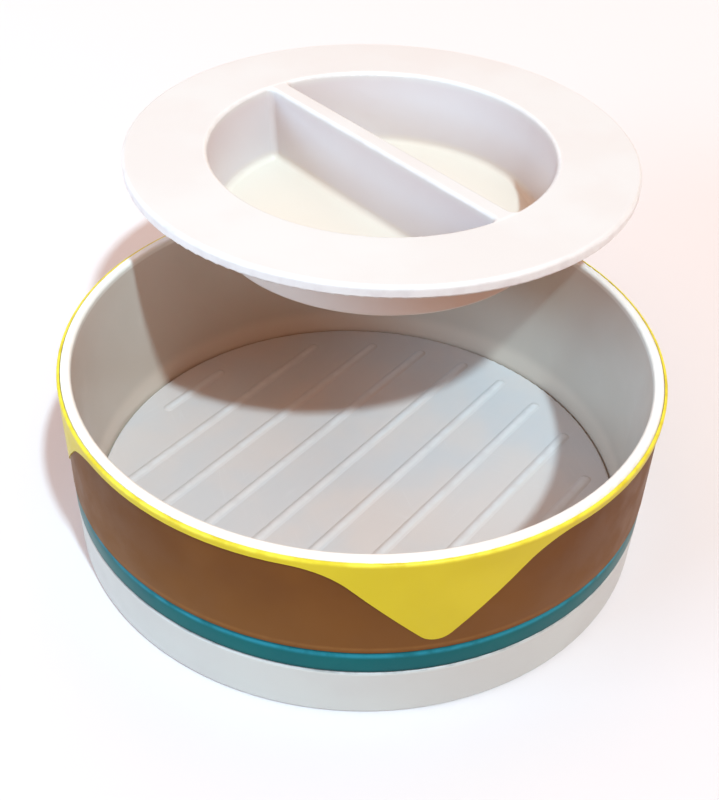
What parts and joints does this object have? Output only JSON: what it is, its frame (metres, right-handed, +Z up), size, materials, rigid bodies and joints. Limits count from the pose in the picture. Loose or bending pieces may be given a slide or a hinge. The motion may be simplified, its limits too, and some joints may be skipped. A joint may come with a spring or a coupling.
{
  "type": "lidded food dish",
  "caption": "Round lidded food dish in burger-coloured layers, with a loose ribbed floor disc and a flanged lid whose deep well is crossed by a finger grip",
  "frame": {"origin": "centre of the dish's flat underside, where it rests on a table", "axes": "+Z up, -Y the front, +Y towards the lid, which stands on the back of the rim"},
  "size_m": [0.2, 0.2736, 0.0994],
  "materials": {
    "liner_white": "gloss",
    "insert_white": "gloss",
    "base_white": "gloss",
    "lettuce_teal": "gloss",
    "patty_brown": "gloss",
    "cheese_yellow": "gloss",
    "lid_white": "gloss"
  },
  "bodies": {
    "dish": {"bowl_liner": "liner_white", "bun_base": "base_white", "lettuce_ring": "lettuce_teal", "patty_sleeve": "patty_brown", "cheese_layer": "cheese_yellow"},
    "insert": {"ribbed_insert": "insert_white"},
    "lid": {"lid": "lid_white"}
  },
  "joints": [
    {"name": "lid_lift", "type": "slide", "parent": "dish", "child": "lid", "axis": [0, 0, 1], "range_m": [0, 0.08]},
    {"name": "insert_lift", "type": "slide", "parent": "dish", "child": "insert", "axis": [0, 0, 1], "range_m": [0, 0.055]}
  ]
}
